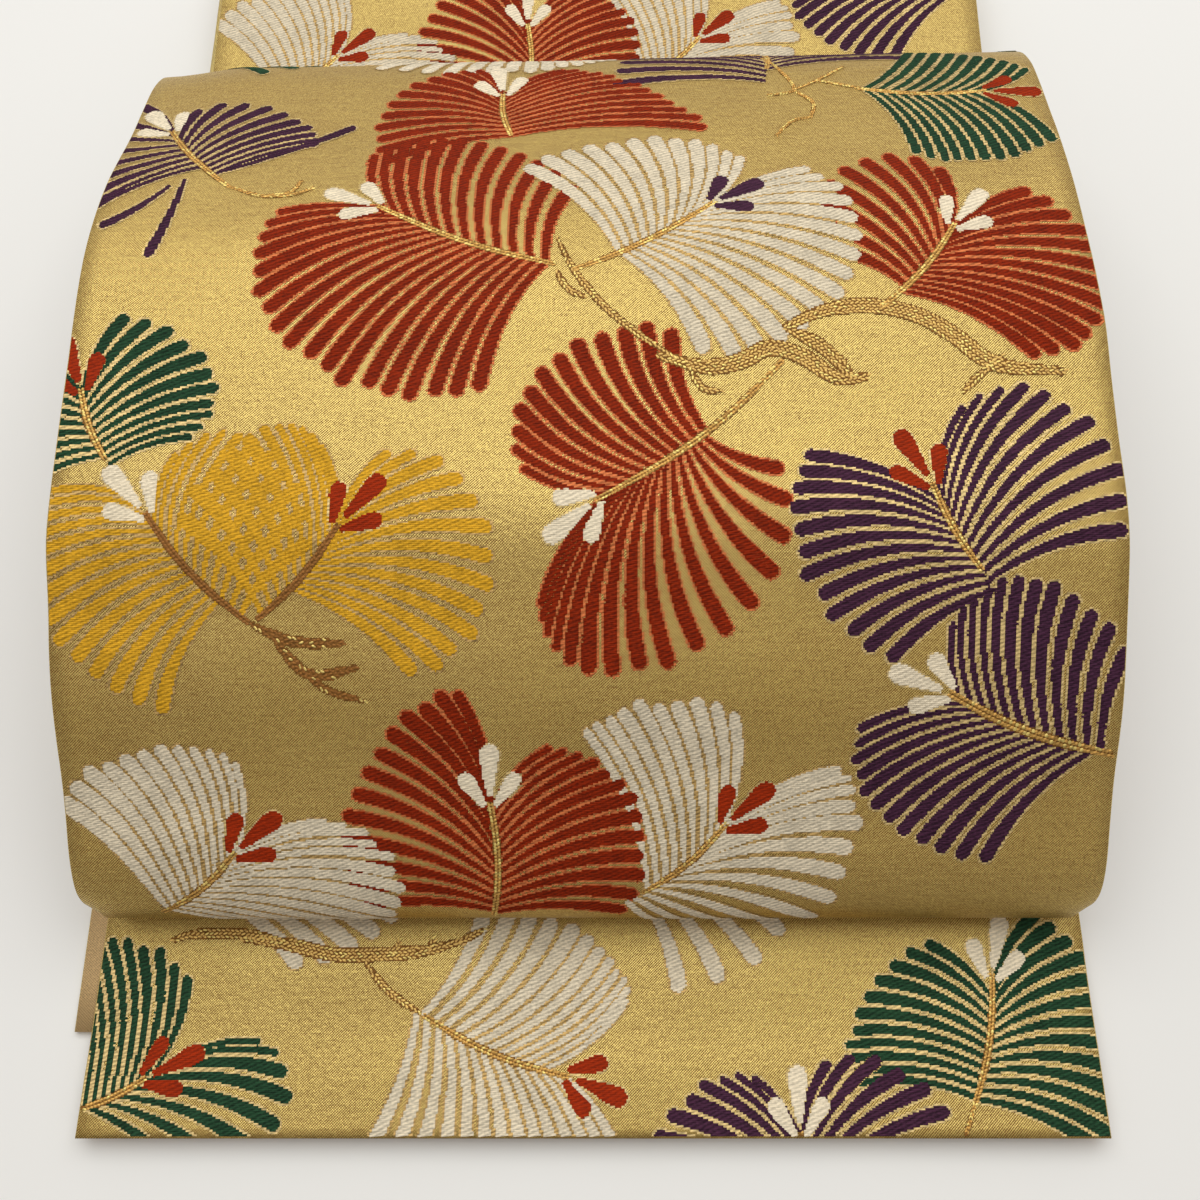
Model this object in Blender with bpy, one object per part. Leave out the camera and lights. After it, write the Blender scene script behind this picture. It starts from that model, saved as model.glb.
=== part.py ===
"""Obi sash folded in the drum form and laid down.

One strip of double-woven brocade, 0.31 m wide and 4.35 m long, is folded as for
display. From its two ends inwards the strip runs as follows.

    tare          the tail end, face up, then back under the drum to the inner fold
    inner_return  the fold inside the drum and the layer that comes back from it
    drum          the round near fold, the wide puffed stretch, its rear side and the
                  tuck at its foot
    far_band      the flat stretch behind the drum and its fold at the far end
    folded_stack  eight hidden layers of the strip, sharing one layered solid
    te_end        the other end, reverse side up, lying under all the rest

Lengths are in metres. X runs across the strip, Y away from the tare's end and Z
up from the surface it lies on. Tables are in millimetres.
"""

import math

import bmesh
import bpy
from mathutils import Vector

MM = 0.001

# The strip.
STRIP_WIDTH = 310.0
CLOTH = 1.6
SEAM_GAP = 0.3

# The hidden stack: eight layers over the te end.
STACK_LAYERS = 8
STACK_NEAR = 88.5
STACK_STAIR = 4.6
STACK_FAR = 456.0
STACK_TOP_NEAR = 15.0
STACK_TOP_FAR = 17.4
STACK_GROOVE = 0.9
STACK_CUTS = [200.0, 300.0, 380.0, 395.0, 410.0, 425.0, 440.0]

# The te end under everything.
TE_NEAR = 28.0
TE_FAR = 454.0
TE_SHIFT = -8.5

# Where each stretch sits sideways.
TARE_SHIFT = -2.0
DRUM_SHIFT = -3.5
BAND_SHIFT = -0.5

# The rear ridge is a little higher and further back on the right.
RIDGE_LIFT = 2.2
RIDGE_START = 255.0
RIDGE_END = 335.0
RIDGE_FLOOR = 30.0
LEFT_DROOP = 1.6

# Facets.
DRUM_COLUMNS = 16
TARE_COLUMNS = 10
BAND_COLUMNS = 8
RETURN_COLUMNS = 2
STEPS_PER_SPAN = 2

# Middle of the cloth, from the tare's end to the inner fold: (y, z).
TARE_PATH = [
    (-2.0, 5.4),
    (10.0, 4.7),
    (22.0, 4.0),
    (34.0, 3.5),
    (48.0, 3.1),
    (60.0, 2.9),
    (70.0, 3.0),
    (80.0, 4.0),
    (90.0, 7.0),
    (100.0, 11.0),
    (110.0, 14.6),
    (121.0, 16.4),
    (136.0, 16.8),
    (180.0, 17.1),
    (225.0, 17.3),
    (262.0, 17.5),
]

# The inner fold and the layer that comes back over the tare: (y, z).
RETURN_PATH = [
    (262.3, 17.5),
    (265.0, 17.6),
    (266.5, 18.9),
    (265.0, 20.2),
    (262.0, 20.3),
    (225.0, 20.0),
    (180.0, 19.8),
    (136.0, 19.6),
    (121.0, 19.2),
    (110.0, 17.5),
    (100.0, 14.0),
    (92.0, 10.9),
]

# The near fold, the puffed face, the ridge and the rear side: (y, z).
DRUM_PATH = [
    (91.7, 10.8),
    (85.0, 8.3),
    (78.0, 6.7),
    (72.0, 6.0),
    (67.0, 7.2),
    (63.3, 10.8),
    (62.0, 15.6),
    (63.2, 20.8),
    (67.2, 26.4),
    (75.5, 33.4),
    (86.5, 40.2),
    (97.5, 47.4),
    (108.0, 54.9),
    (118.0, 61.4),
    (129.0, 67.4),
    (139.5, 72.3),
    (150.0, 77.0),
    (160.0, 80.8),
    (172.0, 83.0),
    (190.0, 84.4),
    (210.0, 86.0),
    (230.0, 87.4),
    (248.0, 87.2),
    (266.0, 85.4),
    (284.0, 82.2),
    (301.0, 77.8),
    (318.0, 72.6),
    (335.0, 67.4),
    (347.0, 63.2),
    (357.0, 57.0),
    (364.0, 48.6),
    (367.4, 39.5),
    (366.8, 31.0),
    (362.6, 24.8),
    (356.0, 22.0),
    (350.8, 20.9),
    (348.6, 19.0),
    (350.8, 17.2),
    (356.0, 17.0),
    (366.0, 17.0),
    (378.6, 17.0),
    (386.0, 17.0),
]

# The far stretch and its fold down to the stack: (y, z).
BAND_PATH = [
    (386.3, 17.0),
    (398.0, 17.2),
    (412.0, 17.9),
    (426.0, 18.6),
    (440.0, 19.1),
    (452.0, 19.2),
    (459.0, 18.2),
    (461.6, 15.6),
    (461.2, 12.8),
]

# Soft uneven ridges and troughs across the drum.
# (y of the middle, half width along y, height, lean per half width, side, spread)
DRUM_WAVES = [
    (172.0, 13.0, 0.9, 4.0, 0.30, 0.8),
    (214.0, 17.0, -0.8, -6.0, -0.20, 0.9),
    (262.0, 16.0, 0.8, 5.0, -0.45, 0.7),
    (300.0, 15.0, -0.7, -4.0, 0.35, 0.8),
    (128.0, 11.0, 0.8, 4.0, -0.40, 0.8),
    (104.0, 9.0, -0.8, -3.0, 0.25, 0.9),
    (84.0, 7.0, 0.6, 2.0, -0.70, 0.5),
    (150.0, 10.0, -0.7, 5.0, -0.95, 0.4),
    (232.0, 14.0, 0.9, -5.0, 0.95, 0.4),
]

TARE_WAVES = [
    (16.0, 9.0, 0.5, 3.0, 0.30, 0.9),
    (44.0, 10.0, 0.7, -4.0, -0.30, 0.8),
    (54.0, 8.0, 0.5, 3.0, 0.75, 0.5),
]

BAND_WAVES = [
    (408.0, 9.0, 0.5, 3.0, -0.35, 0.8),
    (432.0, 10.0, 0.6, -3.0, 0.40, 0.8),
]

GOLD = (0.62, 0.46, 0.17)
GOLD_SHADE = (0.50, 0.36, 0.14)
REVERSE = (0.44, 0.30, 0.13)


def clear():
    """Removes every object and mesh that a new file starts with."""
    for thing in list(bpy.data.objects):
        bpy.data.objects.remove(thing, do_unlink=True)
    for mesh in list(bpy.data.meshes):
        bpy.data.meshes.remove(mesh)


def material(name, colour, roughness, metallic):
    """A plain Principled material."""
    made = bpy.data.materials.new(name)
    made.use_nodes = True
    shader = made.node_tree.nodes["Principled BSDF"]
    shader.inputs["Base Color"].default_value = (*colour, 1.0)
    shader.inputs["Roughness"].default_value = roughness
    shader.inputs["Metallic"].default_value = metallic
    made.diffuse_color = (*colour, 1.0)
    return made


def spline(points, steps):
    """A smooth curve through the table's points, with steps per span."""
    before = Vector(points[0]) * 2 - Vector(points[1])
    after = Vector(points[-1]) * 2 - Vector(points[-2])
    knots = [before] + [Vector(point) for point in points] + [after]
    curve = []
    for index in range(1, len(knots) - 2):
        p0, p1, p2, p3 = knots[index - 1 : index + 3]
        t1 = math.sqrt((p1 - p0).length)
        t2 = t1 + math.sqrt((p2 - p1).length)
        t3 = t2 + math.sqrt((p3 - p2).length)
        for step in range(steps):
            t = t1 + (t2 - t1) * step / steps
            a1 = p0 * ((t1 - t) / t1) + p1 * (t / t1)
            a2 = p1 * ((t2 - t) / (t2 - t1)) + p2 * ((t - t1) / (t2 - t1))
            a3 = p2 * ((t3 - t) / (t3 - t2)) + p3 * ((t - t2) / (t3 - t2))
            b1 = a1 * ((t2 - t) / t2) + a2 * (t / t2)
            b2 = a2 * ((t3 - t) / (t3 - t1)) + a3 * ((t - t1) / (t3 - t1))
            curve.append(b1 * ((t2 - t) / (t2 - t1)) + b2 * ((t - t1) / (t2 - t1)))
    curve.append(knots[-2])
    return curve


def normals(curve):
    """The left-hand normal at each point of a curve in the YZ plane."""
    found = []
    last = len(curve) - 1
    for index in range(len(curve)):
        along = curve[min(index + 1, last)] - curve[max(index - 1, 0)]
        along.normalize()
        found.append(Vector((-along.y, along.x)))
    return found


def wave(table, y, side):
    """The height that the soft ridges add at this point of a stretch."""
    height = 0.0
    for middle, half, rise, lean, where, spread in table:
        along = (y - middle - lean * side) / half
        across = (side - where) / spread
        height += rise * math.exp(-along * along - across * across)
    return height


def ease(value):
    """Zero below nought, one above one, smooth between."""
    value = min(max(value, 0.0), 1.0)
    return value * value * (3 - 2 * value)


def ridge(y, z, side):
    """How far the rear ridge moves up and back at this side of the drum."""
    part = ease((y - RIDGE_START) / (RIDGE_END - RIDGE_START))
    part *= ease((z - RIDGE_FLOOR) / 25.0)
    lift = RIDGE_LIFT * side * part
    lift -= LEFT_DROOP * part * ease((-side - 0.8) / 0.2)
    return lift


def ribbon(name, path, shift, columns, waves, outward, finish, ridged=False):
    """One stretch of the strip: a thin shell that follows its path.

    outward is 1 where the cloth's upper face is on the path's left, else -1.
    """
    curve = spline(path, STEPS_PER_SPAN)
    sides = normals(curve)
    verts = []
    for offset in (0.5, -0.5):
        for point, normal in zip(curve, sides):
            for column in range(columns + 1):
                side = 2.0 * column / columns - 1.0
                swell = wave(waves, point.x, side)
                upper = max(normal.y * outward, 0.0)
                y = point.x + normal.x * outward * (offset * CLOTH)
                z = point.y + normal.y * outward * (offset * CLOTH)
                z += swell * upper
                if ridged:
                    lift = ridge(point.x, point.y, side)
                    y += lift
                    z += lift
                x = shift + side * STRIP_WIDTH / 2
                verts.append(Vector((x, y, z)) * MM)
    rows = len(curve)
    wide = columns + 1
    under = rows * wide
    faces = []
    for row in range(rows - 1):
        for column in range(columns):
            a = row * wide + column
            b = a + 1
            c = a + wide + 1
            d = a + wide
            faces.append((a, b, c, d))
            faces.append((under + d, under + c, under + b, under + a))
    for row in range(rows - 1):
        a = row * wide
        d = a + wide
        faces.append((a, d, under + d, under + a))
        b = a + columns
        c = d + columns
        faces.append((b, under + b, under + c, c))
    for column in range(columns):
        a = column
        b = column + 1
        faces.append((a, under + a, under + b, b))
        a = (rows - 1) * wide + column
        b = a + 1
        faces.append((a, b, under + b, under + a))
    return solid(name, verts, faces, finish)


def solid(name, verts, faces, finish):
    """A named object whose faces all look outwards."""
    mesh = bpy.data.meshes.new(name)
    mesh.from_pydata(verts, [], faces)
    work = bmesh.new()
    work.from_mesh(mesh)
    bmesh.ops.recalc_face_normals(work, faces=work.faces)
    work.to_mesh(mesh)
    work.free()
    mesh.materials.append(finish)
    made = bpy.data.objects.new(name, mesh)
    bpy.context.scene.collection.objects.link(made)
    return made


def outline(near, far, left, right, corner):
    """A rectangle in plan, anticlockwise, with rounded corners and cut long sides."""
    corners = [
        (right - corner, near + corner, -90.0),
        (right - corner, far - corner, 0.0),
        (left + corner, far - corner, 90.0),
        (left + corner, near + corner, 180.0),
    ]
    points = []
    for index, (x, y, start) in enumerate(corners):
        for step in range(4):
            angle = math.radians(start + 30.0 * step)
            points.append((x + corner * math.cos(angle), y + corner * math.sin(angle)))
        if index == 0:
            points += [(right, cut) for cut in STACK_CUTS]
        if index == 2:
            points += [(left, cut) for cut in reversed(STACK_CUTS)]
    return points


def stack_top(y):
    """How high the stack's upper face is at this distance from the tare's end."""
    part = ease((y - 380.0) / 60.0)
    return STACK_TOP_NEAR + (STACK_TOP_FAR - STACK_TOP_NEAR) * part


def folded_stack(finish):
    """Eight layers as one solid: each layer bulges and a groove parts it from the next."""
    base = CLOTH + SEAM_GAP
    rings = []
    for layer in range(STACK_LAYERS):
        turn = layer % 2
        near = STACK_NEAR + STACK_STAIR * layer + 0.5 * math.sin(layer * 2.1)
        far = STACK_FAR - (0.0 if turn else 1.6) - 0.6 * math.sin(layer * 1.7)
        lean = -3.0 + 2.0 * math.sin(layer * 1.3)
        left = lean - STRIP_WIDTH / 2
        right = lean + STRIP_WIDTH / 2
        for part, inset in ((0.0, STACK_GROOVE), (0.3, 0.0), (0.7, 0.0)):
            level = (layer + part) / STACK_LAYERS
            rings.append((level, near, far, left, right, inset))
        last = (1.0, near, far, left, right, STACK_GROOVE)
    rings.append(last)
    verts = []
    count = 0
    for level, near, far, left, right, inset in rings:
        plan = outline(near + inset, far - inset, left + inset, right - inset, 2.0)
        count = len(plan)
        for x, y in plan:
            z = base + (stack_top(y) - base) * level
            verts.append(Vector((x, y, z)) * MM)
    faces = []
    for ring in range(len(rings) - 1):
        for index in range(count):
            following = (index + 1) % count
            a = ring * count + index
            b = ring * count + following
            faces.append((a, b, b + count, a + count))
    faces.append(tuple(reversed(range(count))))
    top = (len(rings) - 1) * count
    for index in range(count // 2 - 1):
        right = top + index
        left = top + count - 1 - index
        faces.append((right, right + 1, left - 1, left))
    return solid("folded_stack", verts, faces, finish)


def te_end(finish):
    """The last layer: a flat panel on the surface, its square end towards the tare's."""
    left = TE_SHIFT - STRIP_WIDTH / 2
    right = TE_SHIFT + STRIP_WIDTH / 2
    verts = []
    for z in (0.0, CLOTH):
        for x, y in ((left, TE_NEAR), (right, TE_NEAR), (right, TE_FAR), (left, TE_FAR)):
            verts.append(Vector((x, y, z)) * MM)
    faces = [
        (3, 2, 1, 0),
        (4, 5, 6, 7),
        (0, 1, 5, 4),
        (1, 2, 6, 5),
        (2, 3, 7, 6),
        (3, 0, 4, 7),
    ]
    return solid("te_end", verts, faces, finish)


def centre(things):
    """Moves the mesh points so that the whole stands centred on the origin."""
    every = [vertex.co for thing in things for vertex in thing.data.vertices]
    low = Vector([min(point[axis] for point in every) for axis in range(3)])
    high = Vector([max(point[axis] for point in every) for axis in range(3)])
    move = Vector((-(low.x + high.x) / 2, -(low.y + high.y) / 2, -low.z))
    for thing in things:
        for vertex in thing.data.vertices:
            vertex.co += move


def main():
    """Builds the six stretches of the folded strip."""
    clear()
    tare = ribbon(
        "tare",
        TARE_PATH,
        TARE_SHIFT,
        TARE_COLUMNS,
        TARE_WAVES,
        1,
        material("tare_brocade", GOLD, 0.45, 0.5),
    )
    back = ribbon(
        "inner_return",
        RETURN_PATH,
        TARE_SHIFT,
        RETURN_COLUMNS,
        [],
        1,
        material("return_brocade", GOLD_SHADE, 0.5, 0.4),
    )
    drum = ribbon(
        "drum",
        DRUM_PATH,
        DRUM_SHIFT,
        DRUM_COLUMNS,
        DRUM_WAVES,
        1,
        material("drum_brocade", GOLD, 0.45, 0.5),
        ridged=True,
    )
    band = ribbon(
        "far_band",
        BAND_PATH,
        BAND_SHIFT,
        BAND_COLUMNS,
        BAND_WAVES,
        1,
        material("band_brocade", GOLD, 0.45, 0.5),
    )
    stack = folded_stack(material("stack_brocade", GOLD_SHADE, 0.5, 0.4))
    te = te_end(material("te_reverse", REVERSE, 0.6, 0.2))
    centre([tare, back, drum, band, stack, te])


main()
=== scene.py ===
"""Looks of an obi sash: gold brocade with pine fans, folded in the drum form.

The figures are laid out on the flat strip, in millimetres. x runs across the strip
from its middle, and s runs along it. s is nought at the drum's near fold and grows
up and over the drum. Each stretch of the folded strip turns (x, s) into a place.
The brocading weft is laid row by row, as a loom lays it, so every needle of a fan is
a set of raised threads whose ends step with the weave.
"""

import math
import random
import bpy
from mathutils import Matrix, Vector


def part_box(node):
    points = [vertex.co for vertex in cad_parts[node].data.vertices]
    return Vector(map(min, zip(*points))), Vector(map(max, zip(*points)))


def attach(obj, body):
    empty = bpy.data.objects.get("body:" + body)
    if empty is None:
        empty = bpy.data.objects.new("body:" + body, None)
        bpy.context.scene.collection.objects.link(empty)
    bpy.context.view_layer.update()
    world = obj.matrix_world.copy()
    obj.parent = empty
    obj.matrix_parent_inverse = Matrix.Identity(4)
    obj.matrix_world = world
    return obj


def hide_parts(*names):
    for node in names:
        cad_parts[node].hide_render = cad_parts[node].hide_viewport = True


bl_info = {
    "name": "Obi Sash in the Drum Form",
    "version": (1, 0, 0),
    "blender": (4, 5, 0),
    "location": "View3D > Sidebar > Obi",
    "description": "Builds the folded gold brocade strip, its woven pine fans and the stage",
    "category": "Add Mesh",
}

import bpy
import numpy as np
from mathutils import Vector

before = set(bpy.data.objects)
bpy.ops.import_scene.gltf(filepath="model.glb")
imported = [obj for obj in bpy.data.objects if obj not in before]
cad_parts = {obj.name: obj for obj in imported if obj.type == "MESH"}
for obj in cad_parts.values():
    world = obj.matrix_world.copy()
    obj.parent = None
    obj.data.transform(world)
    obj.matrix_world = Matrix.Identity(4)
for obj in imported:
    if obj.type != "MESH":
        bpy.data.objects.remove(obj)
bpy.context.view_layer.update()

MM = 0.001
HALF = 155.0
CLOTH = 1.6
REPEAT = 400.0
TARE_STRIP = 335.0

# Where the tables' zero lies in the frame, from the te end's near left corner.
ORIGIN_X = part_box("te_end")[0][0] / MM + 163.5
ORIGIN_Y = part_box("te_end")[0][1] / MM - 28.0

# Middle of the cloth, from the tare's end to the inner fold: (y, z).
TARE_PATH = [
    (-2, 5.4), (10, 4.7), (22, 4), (34, 3.5), (48, 3.1), (60, 2.9),
    (70, 3), (80, 4), (90, 7), (100, 11), (110, 14.6),
    (121, 16.4), (136, 16.8), (180, 17.1), (225, 17.3), (262.15, 17.5),
]

# The inner fold and the layer that comes back over the tare: (y, z).
RETURN_PATH = [
    (262.15, 17.5), (265, 17.6), (266.5, 18.9), (265, 20.2), (262, 20.3),
    (225, 20), (180, 19.8), (136, 19.6), (121, 19.2), (110, 17.5),
    (100, 14), (91.85, 10.85),
]

# The near fold, the puffed face, the ridge, the rear side and its tuck: (y, z).
DRUM_PATH = [
    (91.85, 10.85), (85, 8.3), (78, 6.7), (72, 6), (67, 7.2), (63.3, 10.8),
    (62, 15.6), (63.2, 20.8), (67.2, 26.4), (75.5, 33.4), (86.5, 40.2),
    (97.5, 47.4), (108, 54.9), (118, 61.4), (129, 67.4), (139.5, 72.3),
    (150, 77), (160, 80.8), (172, 83), (190, 84.4), (210, 86),
    (230, 87.4), (248, 87.2), (266, 85.4), (284, 82.2), (301, 77.8),
    (318, 72.6), (335, 67.4), (347, 63.2), (357, 57), (364, 48.6),
    (367.4, 39.5), (366.8, 31), (362.6, 24.8), (356, 22), (350.8, 20.9),
    (348.6, 19), (350.8, 17.2), (356, 17), (366, 17), (378.6, 17),
    (386.15, 17),
]

# The far stretch and its fold down to the stack: (y, z).
BAND_PATH = [
    (386.15, 17), (398, 17.2), (412, 17.9), (426, 18.6), (440, 19.1),
    (452, 19.2), (459, 18.2), (461.6, 15.6), (461.2, 12.8),
]

# Soft ridges and troughs: (y, half width, height, lean, side, spread).
DRUM_WAVES = [
    (172, 13, 0.9, 4, 0.3, 0.8),
    (214, 17, -0.8, -6, -0.2, 0.9),
    (262, 16, 0.8, 5, -0.45, 0.7),
    (300, 15, -0.7, -4, 0.35, 0.8),
    (128, 11, 0.8, 4, -0.4, 0.8),
    (104, 9, -0.8, -3, 0.25, 0.9),
    (84, 7, 0.6, 2, -0.7, 0.5),
    (150, 10, -0.7, 5, -0.95, 0.4),
    (232, 14, 0.9, -5, 0.95, 0.4),
]
TARE_WAVES = [
    (16, 9, 0.5, 3, 0.3, 0.9),
    (44, 10, 0.7, -4, -0.3, 0.8),
    (54, 8, 0.5, 3, 0.75, 0.5),
]
BAND_WAVES = [
    (408, 9, 0.5, 3, -0.35, 0.8),
    (432, 10, 0.6, -3, 0.4, 0.8),
]

# The fans: colour, bud colour, root (x, s), bud (x, s) and two wings. A wing is
# the first and last place on the stem, from the bud's end, the count of needles and
# the angle from the stem and length of the first, middle and last needle.
FANS = [
    ("white", "purple", (-5, 210), (40, 238), (
        (0.9, 0.3, 12, 30, 28, 65, 44, 95, 48),
        (1, 0.3, 15, -5, 33, -50, 56, -85, 42))),
    ("red", "white", (-10, 212), (-67, 236), (
        (0.95, 0.05, 12, -55, 28, -68, 48, -80, 32),
        (0.95, 0.05, 18, 25, 33, 62, 60, 88, 45))),
    ("red", "white", (88, 196), (114, 228), (
        (0.92, 0.28, 9, 38, 27, 70, 44, 92, 22),
        (0.88, 0.22, 13, -17, 32, -60, 54, -80, 44))),
    ("red", "white", (-26, 273), (-30, 299), (
        (0.95, 0, 12, 20, 20, 64, 38, 100, 42),
        (0.95, 0, 13, -60, 26, -78, 48, -96, 64))),
    ("purple", "white", (-115, 246), (-141, 281), (
        (0.75, 0.2, 10, -40, 21, -85, 37, -98, 34),
        (0.95, 0.35, 9, 0, 26, 76, 38, 90, 40))),
    ("green", "red", (92, 297), (136, 294), (
        (0.95, 0.05, 10, 40, 22, 54, 33, 60, 37),
        (0.95, 0.05, 11, -52, 32, -63, 39, -66, 37))),
    ("green", "red", (-140, 147), (-150, 170), (
        (0.92, -0.08, 11, -45, 26, -84, 37, -92, 24),
        (0.94, 0.06, 9, 34, 20, 72, 24, 90, 26))),
    ("yellow", "red", (-95, 100), (-71, 128), (
        (0.98, 0.06, 11, 56, 24, 58, 45, 80, 35),
        (0.94, 0.36, 13, 10, 26, -48, 50, -84, 42))),
    ("yellow", "white", (-97, 99), (-127, 131), (
        (0.88, 0.08, 11, -54, 22, -65, 42, -86, 28),
        (1.1, 0.25, 14, 40, 24, 70, 40, 108, 36))),
    ("red", "white", (58, 179), (2, 134), (
        (0.94, 0.46, 12, -57, 26, -84, 45, -112, 34),
        (0.94, 0.48, 16, 20, 36, 50, 58, 115, 24))),
    ("purple", "red", (113, 114), (99, 140), (
        (0.78, -0.22, 12, 40, 39, 67, 46, 95, 35),
        (0.84, -0.1, 11, -47, 29, -68, 53, -98, 40))),
    ("purple", "white", (154, 60), (104, 79), (
        (0.92, 0.08, 12, -61, 22, -66, 44, -78, 30),
        (0.88, 0.12, 12, 35, 32, 52, 48, 70, 44))),
    ("white", "red", (-130, 7), (-105, 29), (
        (1.04, 0.08, 12, 47, 27, 65, 45, 85, 46),
        (1.04, 0.08, 14, -23, 27, -45, 57, -75, 40))),
    ("red", "white", (-29, 5), (-29, 45), (
        (0.92, 0.08, 13, 14, 38, 52, 48, 88, 41),
        (0.95, 0.05, 13, -42, 25, -62, 44, -88, 39))),
    ("white", "red", (16, 15), (41, 38), (
        (0.94, 0.06, 10, 43, 36, 61, 51, 67, 53),
        (0.98, -0.16, 15, -12, 35, -34, 51, -108, 36))),
    ("green", "red", (-155, 343), (-136, 352), (
        (1.1, 0.06, 9, 50, 28, 70, 44, 75, 45),
        (1.5, 0.1, 8, -14, 24, -34, 46, -60, 45))),
    ("white", "red", (-53, 370), (-7, 352), (
        (0.82, 0, 12, 59, 33, 62, 46, 82, 38),
        (0.96, -0.04, 14, -34, 30, -58, 45, -90, 54))),
    ("purple", "white", (62, 311), (62, 337), (
        (0.9, -0.3, 11, 38, 22, 60, 45, 90, 50),
        (0.9, 0, 9, -22, 22, -55, 45, -80, 50))),
    ("green", "white", (115, 344), (125, 382), (
        (0.82, 0.06, 11, 63, 24, 90, 40, 98, 36),
        (0.9, 0.05, 13, -21, 27, -67, 40, -98, 40))),
]

# Fine gold stems that aren't a fan's own: width, points (x, s).
STEMS = [
    (1.3, [(-115, 246), (-103, 241), (-93, 242), (-88, 245)]),
    (1.3, [(-103, 241), (-95, 243), (-92, 249)]),
    (1.1, [(61, 322), (66, 311), (70, 297), (61, 294)]),
    (1.1, [(74, 281), (68, 279), (62, 271)]),
    (1.1, [(70, 297), (76, 289), (74, 280)]),
    (1.1, [(70, 297), (80, 304), (89, 312)]),
    (1.1, [(78, 303), (86, 300), (93, 297)]),
    (1.3, [(115, 344), (111, 335)]),
]

# Woody branches: thread, rows of thread, points (x, s).
BRANCHES = [
    ("bark", 2, [(-10, 223), (-5, 211), (5, 197), (16, 187), (26, 180)]),
    ("bark", 5, [(20, 181), (36, 177), (46, 179), (54, 183), (64, 180), (74, 173), (84, 174)]),
    ("bark", 5, [(58, 189), (70, 195), (84, 197), (98, 194), (109, 187), (120, 178), (141, 175)]),
    ("bark", 4, [(60, 189), (70, 183), (79, 173)]),
    ("bark", 2, [(124, 181), (117, 175), (110, 168)]),
    ("bark", 2, [(-10, 210), (-6, 203), (0, 200)]),
    ("bark", 2, [(30, 177), (34, 170), (40, 169)]),
    ("twig", 3, [(-97, 99), (-86, 94), (-69, 93)]),
    ("twig", 3, [(-90, 94), (-80, 84), (-66, 86)]),
    ("twig", 2, [(-84, 88), (-76, 80), (-64, 76)]),
    ("bark", 3, [(-134, 392), (-128, 394), (-108, 394), (-98, 392)]),
    ("bark", 4, [(-112, 393), (-96, 391), (-82, 388), (-68, 388), (-54, 389), (-42, 392)]),
    ("bark", 2, [(-63, 388), (-61, 393)]),
    ("bark", 2, [(-52, 389), (-50, 394)]),
    ("bark", 2, [(-44, 391), (-34, 396)]),
    ("bark", 2, [(-72, 386), (-64, 377), (-53, 370)]),
]

# Loose needles at a fan's side: colour, base (x, s), end (x, s).
LOOSE = [
    ("purple", (-119, 254), (-80, 279)),
    ("purple", (-134, 247), (-151, 228)),
    ("purple", (-130, 250), (-135, 216)),
]

# A needle bends at this share of its length, this many degrees off its end.
BEND_REACH = 0.52
BEND_ANGLE = 17

# A bud's petals: turn from the stem, place ahead, place beside, length, half width.
PETALS = (
    (0, 2, 0, 13.5, 2.9), (0.58, -1.5, 1.5, 10, 2.5), (-0.58, -1.5, 1.5, 10, 2.5),
)

# A fan's own stem is this wide, but for those named by their roots.
STEM_WIDTH = 1.9
THICK_STEMS = {(154, 60): 2.6}

# The thread beside a needle, and the ground left between two needles, in mm.
EDGES = {"red": "edge_red", "white": "edge_gold", "yellow": "edge_gold"}
LINES = {"red": 1.15, "white": 1, "yellow": 1.75, "purple": 1.1, "green": 1.25}


# Each thread's finish: colour and its share, dark part, metal, roughness and sheen.
FINISHES = {
    "red": ("red", 1, 0.5, 0, 0.5, 0.01),
    "white": ("white", 1, 0.7, 0, 0.5, 0.01),
    "purple": ("purple", 1, 0.4, 0, 0.5, 0.01),
    "green": ("green", 1, 0.4, 0, 0.5, 0.01),
    "yellow": ("yellow", 1, 0.6, 0, 0.5, 0.01),
    "bud_red": ("red", 1.25, 0.7, 0, 0.5, 0.01),
    "bud_white": ("white", 1.1, 0.85, 0, 0.5, 0.01),
    "bud_purple": ("purple", 1, 0.6, 0, 0.5, 0.01),
    "edge_red": ("red_edge", 1, 0.5, 0.2, 0.5, 0.01),
    "edge_gold": ("edge_gold", 1, 0.4, 0.4, 0.42, 0),
    "twig": ("twig", 1, 0.6, 0.15, 0.5, 0),
    "edge_pale": ("pale_edge", 1, 0.55, 0.45, 0.42, 0.01),
    "stem": ("stem", 1, 0.5, 0.6, 0.38, 0),
    "glint": ("gold_bright", 1, 0.7, 0.75, 0.32, 0),
    "bark": ("bark", 1, 0.6, 0.35, 0.42, 0),
    "bark_shade": ("bark_shade", 1, 0.6, 0.1, 0.5, 0),
}


def measure(name, description, default, low, high=0.002):
    """The property of one length, in metres."""
    return bpy.props.FloatProperty(
        name=name, description=description, default=default, min=low, max=high,
        unit="LENGTH", precision=5)


def tint(name, description, default):
    """The property of one colour."""
    return bpy.props.FloatVectorProperty(
        name=name, description=description, default=default, subtype="COLOR")


class ObiSizes(bpy.types.PropertyGroup):
    """Sizes of the weave and of the light."""

    weft_row: measure("Weft row", "From one brocading row to the next", 0.0006, 0.0004)
    warp_step: measure("Warp step", "The step at which a row of thread may end", 0.0005, 0.0002)
    float_lift: measure(
        "Thread height", "How far the brocading thread stands proud", 0.0003, 0.0001, 0.001)
    twill: measure("Twill pitch", "From one line of the gold twill to the next", 0.00058, 0.0003)
    key_light: bpy.props.FloatProperty(
        name="Key light", description="Power of the soft light overhead",
        default=16.0, min=0.0, unit="POWER")


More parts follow.
